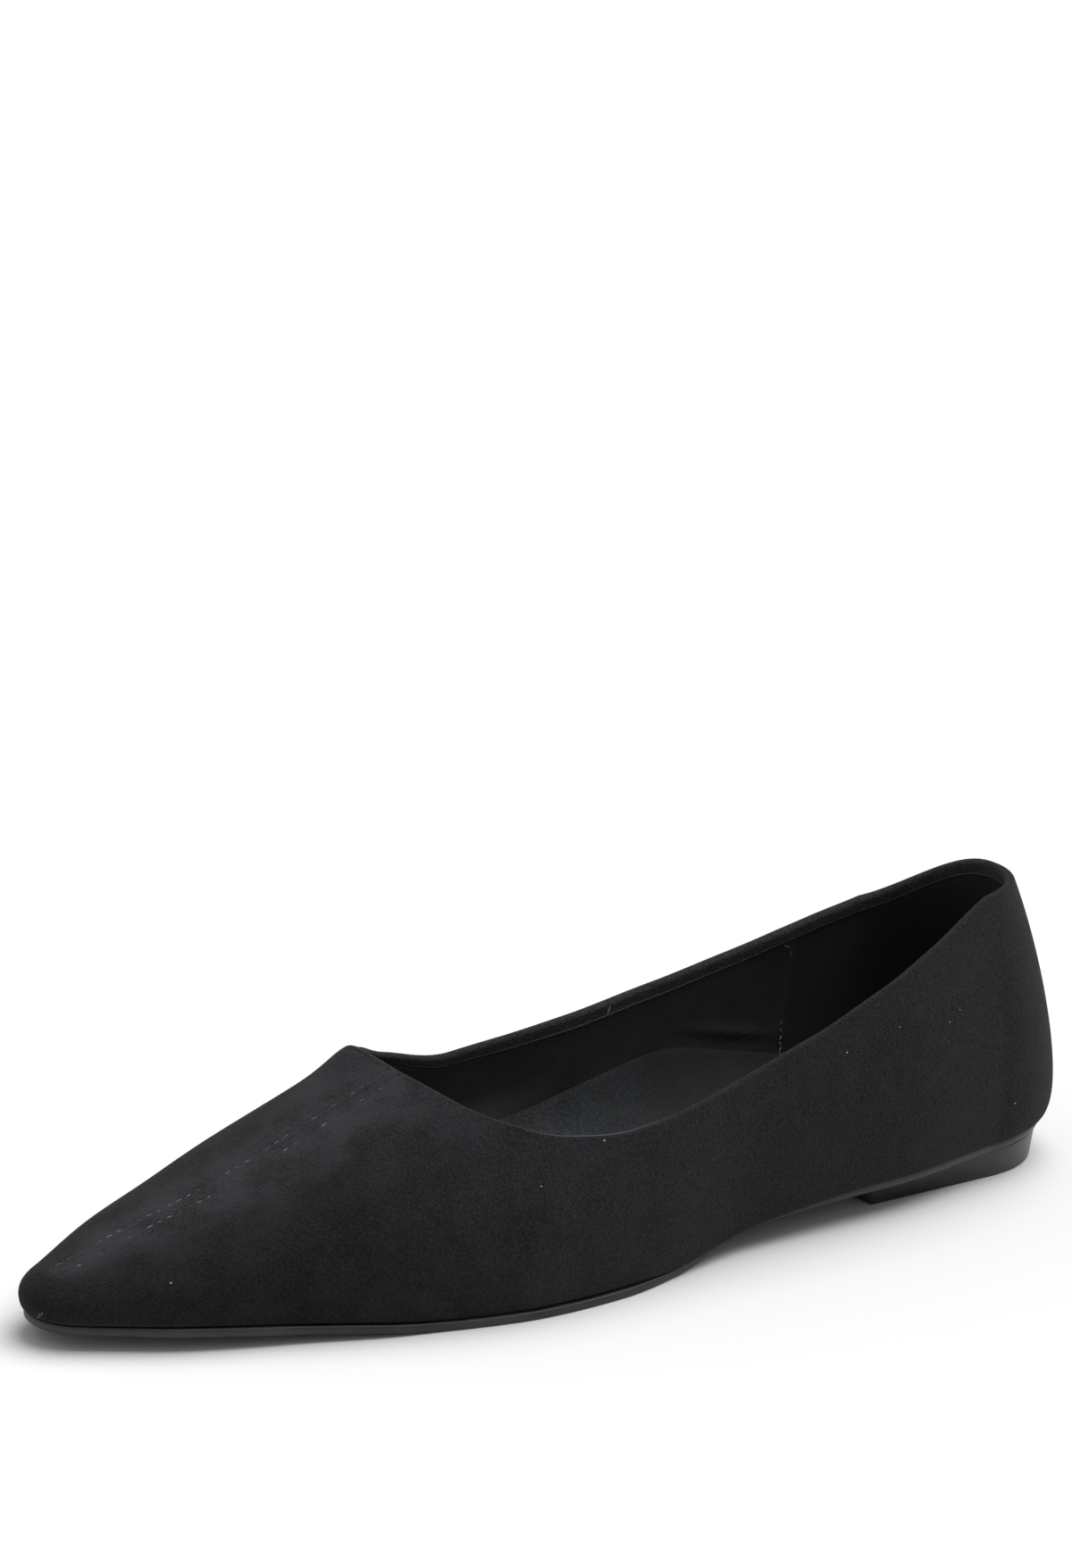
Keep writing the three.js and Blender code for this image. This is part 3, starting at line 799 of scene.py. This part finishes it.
def sewn_skin(last):
    """The suede's outer face with its seam, stitch dimples and creases, and its marks."""
    near, place = seam_distance(last, last.skin)
    pitch = last.sizes.stitch_pitch
    row = last.sizes.stitch_apart / 2
    # The seam runs out before it reaches the tip
    here = np.clip((last.seam_length - place) / (12 * MM), 0, 1)
    relief = -0.07 * MM * here * bump_at(near, 0, 0.5 * MM)
    dimples = 0.6 + 0.4 * np.cos(2 * math.pi * place / pitch)
    relief -= 0.2 * MM * here * dimples * bump_at(near, row, 0.45 * MM)
    shape = np.broadcast_to(last.share, relief.shape)
    # The creases of both sides run out before the seam
    relief += last.creases(CREASES, shape) * np.clip(near / (6 * MM), 0, 1) ** 2
    relief += last.lip(last.skin)
    skin = last.skin + relief[..., None] * last.out
    return skin, here * bump_at(near, 0, 0.4 * MM)


class ShoeOperator:
    """What all operators of this add-on share."""

    bl_options = {"REGISTER", "UNDO"}


class SHOE_OT_upper(ShoeOperator, bpy.types.Operator):
    """Suede upper: one shell with its folded topline and turned-in margin"""

    bl_idname = "shoe.upper"
    bl_label = "Suede upper"

    def execute(self, context):
        last = shoe_last(context)
        sizes, c = last.sizes, last.ring
        skin, seam = sewn_skin(last)
        facing, fade = facing_form(last)
        wall = sizes.suede + fade * (sizes.upper_wall + sizes.facing_step - sizes.suede)

        def inside(share, depth):
            points = last.surface(share)
            return points - last.normal(share) * (depth - last.lip(points))[..., None]

        margin = c["reach"] - np.minimum(sizes.margin_width, MARGIN_SHARE * c["reach"])
        under = last.floor_point(c["reach"] - sizes.feather_round, 0)
        edge = last.surface(np.zeros_like(c["at"]))
        start = skin[:, :1]
        turns = [
            under * (1 - t) ** 2 + edge * 2 * t * (1 - t) + start * t * t
            for t in (0.0, 0.25, 0.5, 0.75)
        ]
        top = skin[:, -1:]
        inner_top = inside(c["cut"], wall)
        tops = last.surface(c["cut"])
        before, after = np.roll(tops, 1, axis=0), np.roll(tops, -1, axis=0)
        closed = ~c["open"][..., None]
        before = np.where(closed, tops[-THROAT_INDEX - 1], before)
        after = np.where(closed, tops[THROAT_INDEX + 1], after)
        up = np.cross(last.normal(c["cut"]), after - before)
        up /= np.maximum(length_of(up), TINY * TINY)
        middle = (top + inner_top) / 2
        angles = [math.pi * k / RIM_ROWS for k in range(1, RIM_ROWS)]
        rim = [
            middle + math.cos(a) * (top - middle) + math.sin(a) * sizes.rim_round * up for a in angles
        ]
        facings = [inside(c["cut"] + (facing - c["cut"]) * t, wall) for t in (0, 0.25, 0.5, 0.75, 0.86)]
        facings.append(inside(facing, wall - 0.15 * MM * fade))
        deep = np.full_like(wall, sizes.suede)
        facings.append(inside(facing, deep))
        low = last.share_at(sizes.upper_wall)
        hidden = [inside(facing + (low - facing) * t, deep) for t in (0.33, 0.67, 1.0)]
        hidden[-1][..., 2] = last.feather(-hidden[-1][..., 1] / last.length) + sizes.upper_wall
        before_skin = [last.floor_point(margin, 0)] + turns
        after_skin = rim + facings + hidden + [last.floor_point(margin, sizes.upper_wall)]
        sections = np.concatenate(before_skin + [skin] + after_skin, axis=1)
        first = len(before_skin) + skin.shape[1] - 1
        skipped = range(first, first + len(rim) + 1)
        count = len(sections)

        def left_out(i, j):
            return j in skipped and closed[i % count, 0, 0] and closed[(i + 1) % count, 0, 0]

        at = c["at"]
        marks = {name: np.zeros(sections.shape[:2]) for name in ("seam", "edge", "fold_line_and_highlight", "patchy")}
        marks["tone"] = np.full(sections.shape[:2], 0.86)
        body = slice(len(before_skin), first + 1)
        marks["seam"][:, body] = seam
        marks["patchy"][:, body] = eased(at, 0.5, 0.66) * (0.25 + 0.75 * eased(last.share, 0.5, 0.9))
        # Painted light and shade: the vamp's sides are darkened and its top lightened, as light falls on them
        sides = eased(at, 0.62, 0.84) * eased(last.share, 1.0, 0.72)
        painted_lit_top = eased(at, 0.58, 0.72) * eased(last.share, 0.7, 0.95)
        marks["tone"][:, body] += 0.2 * painted_lit_top - 0.32 * sides + 0.04 * eased(at, 0.5, 0.62)
        facing_start = first + 1 + len(rim)
        # Painted light: the rim's crown lighter on the inner side and darker on the outer, and the fold inside
        # much lighter, standing in for the light that falls on them
        marks["tone"][:, first + 1 : facing_start] = np.where(c["side"] == OUTER, 0.95, 1.5)
        marks["tone"][:, facing_start - 1 : facing_start + 1] = 1.9
        marks["tone"][:, facing_start + 1 : facing_start + 4] = 2.1
        # Painted highlights: a lighter line along the fold's lower edge, brightened far past its own colour
        # where it lies in shade, and a light line along the crown of the outer topline at the vamp
        marks["fold_line_and_highlight"][:, facing_start + 4 : facing_start + 6] = fade * (0.3 + 0.35 * bump_at(at, 0.36, 0.14))
        crown = first + 1 + RIM_ROWS // 2
        painted_topline_highlight = eased(at, 0.5, 0.6) * (0.5 + 0.4 * bump_at(at, 0.62, 0.03))
        marks["edge"][:, crown - 2 : crown + 1] = painted_topline_highlight * (c["side"] == OUTER)
        made = wrap(sections, left_out, marks)
        finish_mesh(made, "upper_suede", last, suede_material(context.scene.shoe_colours), "upper")
        return {"FINISHED"}


class SHOE_OT_lining(ShoeOperator, bpy.types.Operator):
    """Lining: a thin shell inside the suede, under the fold of the topline"""

    bl_idname = "shoe.lining"
    bl_label = "Lining"

    def execute(self, context):
        last = shoe_last(context)
        sizes, c = last.sizes, last.ring
        facing, fade = facing_form(last)
        low = last.share_at(sizes.upper_wall)
        rows = np.arange(LINING_ROWS + 1) / LINING_ROWS
        top = facing - fade * 0.004
        share = top + (low - top) * rows
        skin = last.surface(share)
        above = skin[..., 2] - c["floor"] - last.insole_top()
        seam = bump_at((c["at"] - SIDE_SEAM_AT) * last.length, 0, 0.6 * MM) * c["open"]
        fold = 0 * share
        for at, height, long, wide, lift in zip(*LINING_FOLDS.values()):
            ahead = bump_at((c["at"] - at) * last.length, 0, long * MM) * (c["side"] == INNER)
            fold = fold + lift * ahead * bump_at(above, height * MM, wide * MM)
        relief = 0.25 * MM * seam + fold * MM
        lip = last.lip(skin)
        face = skin - last.normal(share) * (sizes.upper_wall + relief - lip)[..., None]
        behind_share = share[:, ::6][:, ::-1]
        depth = sizes.suede + 0.05 * MM - lip[:, ::6][:, ::-1]
        behind = last.surface(behind_share) - last.normal(behind_share) * depth[..., None]
        face[:, -1, 2] = last.feather(-face[:, -1, 1] / last.length) + sizes.upper_wall + 0.05 * MM
        behind[:, 0, 2] = last.feather(-behind[:, 0, 1] / last.length) + sizes.upper_wall + 0.05 * MM
        sections = np.concatenate([face, behind], axis=1)
        count, rows_all = sections.shape[:2]
        closed = ~c["open"][:, 0]

        def left_out(i, j):
            return j == rows_all - 1 and closed[i % count] and closed[(i + 1) % count]

        quarter = np.clip((SIDE_SEAM_AT - c["at"]) / QUARTER_BLEND + 0.5, 0, 1)
        marks = {
            "quarter": np.broadcast_to(quarter, sections.shape[:2]),
            "edge": np.zeros(sections.shape[:2]),
        }
        # Lighter low down at the front, lighter along the side seam, and a painted highlight along the ridge
        # of the fold
        lighter_places = 0.55 * eased(c["at"], 0.43, 0.52) * eased(above, 8 * MM, 1 * MM)
        marks["edge"][:, : face.shape[1]] = np.clip(0.14 * seam + 0.35 * fold + lighter_places, 0, 1)
        made = wrap(sections, left_out, marks)
        finish_mesh(made, "lining_textile", last, lining_material(context.scene.shoe_colours), None)
        return {"FINISHED"}


def plate(last, rims, material, name, replaced, across=18, lift=0.0):
    """A plate under the whole foot. rims: its edge from the top face to the bottom face, each the way
    out from the feather edge and the height over the floor. lift: how much the top face rises to it."""
    c = last.ring
    inward = np.arange(across) / across
    sections = []
    out, height = rims[-1]
    for t in inward:
        sections.append(last.floor_point(t * (c["reach"] + out), height))
    for out, height in rims[::-1]:
        sections.append(last.floor_point(c["reach"] + out, height))
    out, height = rims[0]
    for t in inward[::-1]:
        sections.append(last.floor_point(t * (c["reach"] + out), height + lift * (t**3 - 1)))
    sections = np.concatenate(sections, axis=1)
    last_row = sections.shape[1] - 1
    made = wrap(sections, lambda i, j: j == last_row)
    return finish_mesh(made, name, last, material, replaced)


class SHOE_OT_insole(ShoeOperator, bpy.types.Operator):
    """Insole: board under a brushed fabric sock, clear of the wall"""

    bl_idname = "shoe.insole"
    bl_label = "Insole"

    def execute(self, context):
        last = shoe_last(context)
        sizes = last.sizes
        bottom = sizes.upper_wall + sizes.gap
        top = last.insole_top()
        turn = 0.6 * MM

        def edge(height):
            return last.clear_out(height, sizes.insole_clearance) - last.ring["reach"]

        rims = [
            (edge(top) - turn, top),
            (edge(top) - 0.3 * turn, top - 0.12 * turn),
            (edge(top) - 0.06 * turn, top - 0.45 * turn),
            (edge(top - turn), top - turn),
            (edge((top + bottom) / 2), (top + bottom) / 2),
            (edge(bottom), bottom),
        ]
        material = sock_material(context.scene.shoe_colours)
        plate(last, rims, material, "insole_sock", "insole", 24, last.arch())
        return {"FINISHED"}


class SHOE_OT_outsole(ShoeOperator, bpy.types.Operator):
    """Outsole: thin rubber from toe to heel, a ledge at the forefoot and hidden at the waist"""

    bl_idname = "shoe.outsole"
    bl_label = "Outsole"

    def execute(self, context):
        last = shoe_last(context)
        sizes, at = last.sizes, last.ring["at"]
        ledge = sizes.sole_ledge * along(FLOOR, "ledge", at)
        out = ledge - sizes.waist_tuck * along(FLOOR, "tuck", at)
        bottom = -sizes.gap - sizes.sole_thickness
        # Pressed close to the upper, so that only a fine line shows between them
        top = -0.1 * MM
        small, turn = 0.2 * MM, sizes.edge_round
        rims = [(out - small, top), (out, top - small)]
        for k in range(5):
            a = math.pi / 2 * k / 4
            rims.append((out - turn * (1 - math.cos(a)), bottom + turn * (1 - math.sin(a))))
        base = list(context.scene.shoe_colours.rubber) + [1]
        material = rubber_material("moulded_rubber_outsole", base, 0.45, 0.6)
        plate(last, rims, material, "outsole_rubber", "outsole")
        return {"FINISHED"}


class SHOE_OT_heel(ShoeOperator, bpy.types.Operator):
    """Heel: a low block with a round back and a straight breast"""

    bl_idname = "shoe.heel"
    bl_label = "Heel"

    def execute(self, context):
        last = shoe_last(context)
        sizes = last.sizes
        half = sizes.heel_width / 2
        round_at = sizes.heel_back + half
        made = bmesh.new()
        steps = 24
        back = [
            (half * math.cos(a), round_at - half * math.sin(a))
            for a in (math.pi * k / (2 * steps) for k in range(2 * steps + 1))
        ]
        outline = [(half, sizes.heel_length)] + back + [(-half, sizes.heel_length)]
        tread = made.faces.new([made.verts.new((x, -y, 0)) for x, y in outline])
        raised = bmesh.ops.extrude_face_region(made, geom=[tread])
        seat = [item for item in raised["geom"] if isinstance(item, bmesh.types.BMVert)]
        flare = 1 + sizes.heel_flare / half
        for vert in seat:
            vert.co.x *= flare
            if -vert.co.y < round_at:
                vert.co.y = -(round_at + (-vert.co.y - round_at) * flare)
            seat_height = last.feather(-vert.co.y / last.length)
            vert.co.z = seat_height - sizes.gap - sizes.sole_thickness - sizes.gap
        sharp = [edge for edge in made.edges if edge.calc_face_angle(0) > math.radians(30)]
        bmesh.ops.bevel(
            made,
            geom=sharp,
            offset=sizes.heel_round,
            segments=3,
            profile=0.5,
            affect="EDGES",
            material=-1,
        )
        base = list(context.scene.shoe_colours.heel) + [1]
        material = rubber_material("moulded_rubber_heel", base, 0.42, 0.9)
        finish_mesh(made, "heel_block", last, material, "heel")
        return {"FINISHED"}


def add_stitch(made, where, ahead, up, length, thread, faded, layer):
    """One stitch: a short thread that lies on the skin, with both ends sunk into it."""
    across = up.cross(ahead).normalized()
    turn = Matrix((ahead, across, up)).transposed().to_4x4()
    matrix = Matrix.Translation(where) @ turn @ Matrix.Diagonal((length / 2, thread / 2, thread / 2, 1))
    made_now = bmesh.ops.create_uvsphere(made, u_segments=10, v_segments=6, radius=1, matrix=matrix)
    for vert in made_now["verts"]:
        vert[layer] = faded


class SHOE_OT_stitches(ShoeOperator, bpy.types.Operator):
    """Vamp stitches: a row on each side of the centre seam, from the throat to the toe"""

    bl_idname = "shoe.stitches"
    bl_label = "Vamp stitches"

    def execute(self, context):
        last = shoe_last(context)
        sizes = last.sizes
        chance = new_piece_seed(7)
        tree = BVHTree.FromObject(bpy.data.objects["upper_suede"], context.evaluated_depsgraph_get())
        seam = [Vector(point + last.shift) for point in last.seam]
        made = bmesh.new()
        layer = made.verts.layers.float.new("faded")
        passed = 0.0
        goal = sizes.stitch_pitch
        end = 82 * MM
        for start, stop in zip(seam[:-1], seam[1:]):
            step = (stop - start).length
            while passed + step > goal and goal < end:
                centre = start.lerp(stop, (goal - passed) / step)
                ahead = (stop - start).normalized()
                _, up, _, _ = tree.find_nearest(centre)
                for side in (OUTER, INNER):
                    shift = up.cross(ahead).normalized() * side * sizes.stitch_apart / 2
                    where, normal, _, _ = tree.find_nearest(centre + shift)
                    lie = (ahead - normal * ahead.dot(normal)).normalized()
                    faded = min(0.65, max(0.0, chance.gauss(0.15, 0.22)))
                    length = sizes.stitch_length * chance.uniform(0.75, 1.05)
                    raised = where + normal * sizes.thread * chance.uniform(-0.4, 0.1)
                    lean = Matrix.Rotation(chance.gauss(0, 0.08), 3, normal)
                    add_stitch(made, raised, lean @ lie, normal, length, sizes.thread, faded, layer)
                goal += sizes.stitch_pitch
            passed += step
        bmesh.ops.translate(made, verts=made.verts, vec=-Vector(last.shift))
        material = thread_material(context.scene.shoe_colours)
        finish_mesh(made, "vamp_stitches", last, material, None)
        return {"FINISHED"}


def spot(last, side, at, high, depth):
    """A place on the last: its point, the way to the toe and the way out."""
    c = last.ring
    i = int(np.argmin(np.abs(c["at"] - at)[:, 0] + (c["side"][:, 0] != side)))
    share = np.full((len(c["at"]), 1), float(high))
    up = Vector(last.normal(share)[i, 0])
    rise = Vector(last.surface(share + STEP)[i, 0] - last.surface(share)[i, 0])
    ahead = rise.cross(up).normalized() * side
    return Vector(last.surface(share)[i, 0]) - depth * MM * up, ahead, up


class SHOE_OT_loose(ShoeOperator, bpy.types.Operator):
    """Loose thread ends at the toe, topline and side seam, and lint on the outer side"""

    bl_idname = "shoe.loose"
    bl_label = "Loose threads and lint"

    def execute(self, context):
        last = shoe_last(context)
        sizes = last.sizes
        material = thread_material(context.scene.shoe_colours)
        made = bmesh.new()
        layer = made.verts.layers.float.new("faded")
        for side, at, high, depth, long, turn, faded in zip(*THREADS.values()):
            where, ahead, up = spot(last, side, at, high, float(depth))
            ahead = Matrix.Rotation(math.radians(turn) * side, 3, up) @ ahead
            add_stitch(made, where, ahead, up, long * MM, sizes.thread, faded, layer)
        finish_mesh(made, "loose_threads", last, material, None)
        made = bmesh.new()
        layer = made.verts.layers.float.new("faded")
        for at, high, long in zip(*LINT.values()):
            where, ahead, up = spot(last, OUTER, at, high, 0)
            add_stitch(made, where, ahead, up, long * MM, long * MM, 1.0, layer)
        finish_mesh(made, "lint_specks", last, material, None)
        return {"FINISHED"}


class SHOE_OT_stage(ShoeOperator, bpy.types.Operator):
    """Stage: pale floor, soft light and the camera"""

    bl_idname = "shoe.stage"
    bl_label = "Stage"

    def execute(self, context):
        scene = context.scene
        made = bmesh.new()
        bmesh.ops.create_grid(made, x_segments=4, y_segments=4, size=40)
        mesh = bpy.data.meshes.new("floor")
        made.to_mesh(mesh)
        made.free()
        floor = bpy.data.objects.new("floor", mesh)
        scene.collection.objects.link(floor)
        # Matt white board: it gives the eye nothing but the shoe's soft shadow
        material, tree, shader, place = start_material("matt_white_board", Roughness=0.9)
        shader.inputs["Specular IOR Level"].default_value = 0.1
        tint = mottle(tree, place, 0.6, 0.3, 0.7)
        colour = mix_colours(tree, tint, linear("#e5e5e6"), linear("#e7e7e7"))
        tree.links.new(colour, shader.inputs["Base Color"])
        mesh.materials.append(material)

        world = bpy.data.worlds.new("studio")
        world.use_nodes = True
        world.node_tree.nodes["Background"].inputs["Color"].default_value = linear("#fdfdff")
        world.node_tree.nodes["Background"].inputs["Strength"].default_value = 0.46
        scene.world = world

        light = bpy.data.lights.new("softbox", "SUN")
        light.energy = 2.9
        light.angle = math.radians(60)
        lamp = bpy.data.objects.new("softbox", light)
        lamp.rotation_euler = (math.radians(-22), math.radians(4), 0)
        scene.collection.objects.link(lamp)

        place_camera(scene)
        scene.view_settings.view_transform = "Standard"
        return {"FINISHED"}


# The photograph's view: from over the outer side, toward the toe
AZIMUTH = math.radians(53.94)
PITCH = math.radians(13.34)
ROLL = math.radians(1.29)
DISTANCE = 729.03 * MM
LENS = 80.28
LOOKED_AT = Vector((1.3, -0.48, 25)) * MM
ACROSS = 8.92 * MM
ABOVE = -69.08 * MM


def place_camera(scene):
    """The camera, so that the point looked at lies aside from the picture's middle."""
    flat = math.cos(PITCH)
    back = Vector((math.sin(AZIMUTH) * flat, -math.cos(AZIMUTH) * flat, math.sin(PITCH)))
    right = Vector((math.cos(AZIMUTH), math.sin(AZIMUTH), 0))
    up = back.cross(right)
    right, up = (
        math.cos(ROLL) * right + math.sin(ROLL) * up,
        -math.sin(ROLL) * right + math.cos(ROLL) * up,
    )
    data = bpy.data.cameras.new("camera")
    data.lens = LENS
    data.sensor_width = 36
    data.clip_start = 0.01
    data.clip_end = 200
    camera = bpy.data.objects.new("camera", data)
    turn = Matrix((right, up, back)).transposed().to_4x4()
    place = LOOKED_AT + DISTANCE * back - ACROSS * right - ABOVE * up
    camera.matrix_world = Matrix.Translation(place) @ turn
    scene.collection.objects.link(camera)
    scene.camera = camera


OPERATORS = (
    SHOE_OT_upper,
    SHOE_OT_lining,
    SHOE_OT_insole,
    SHOE_OT_outsole,
    SHOE_OT_heel,
    SHOE_OT_stitches,
    SHOE_OT_loose,
    SHOE_OT_stage,
)


class SHOE_PT_panel(bpy.types.Panel):
    """Sizes, colours and pieces of the shoe"""

    bl_idname = "SHOE_PT_panel"
    bl_label = "Flat shoe"
    bl_space_type = "VIEW_3D"
    bl_region_type = "UI"
    bl_category = "Flat shoe"

    def draw(self, context):
        for group in (context.scene.shoe_sizes, context.scene.shoe_colours):
            box = self.layout.box()
            for name in group.__annotations__:
                box.prop(group, name)
        for operator in OPERATORS:
            self.layout.operator(operator.bl_idname)


CLASSES = (ShoeSizes, ShoeColours, *OPERATORS, SHOE_PT_panel)


def register():
    for item in CLASSES:
        bpy.utils.register_class(item)
    bpy.types.Scene.shoe_sizes = bpy.props.PointerProperty(type=ShoeSizes)
    bpy.types.Scene.shoe_colours = bpy.props.PointerProperty(type=ShoeColours)


def unregister():
    del bpy.types.Scene.shoe_sizes
    del bpy.types.Scene.shoe_colours
    for item in reversed(CLASSES):
        bpy.utils.unregister_class(item)


def main():
    register()
    bpy.ops.shoe.upper()
    bpy.ops.shoe.lining()
    bpy.ops.shoe.insole()
    bpy.ops.shoe.outsole()
    bpy.ops.shoe.heel()
    bpy.ops.shoe.stitches()
    bpy.ops.shoe.loose()
    bpy.ops.shoe.stage()


if __name__ == "__main__":
    main()
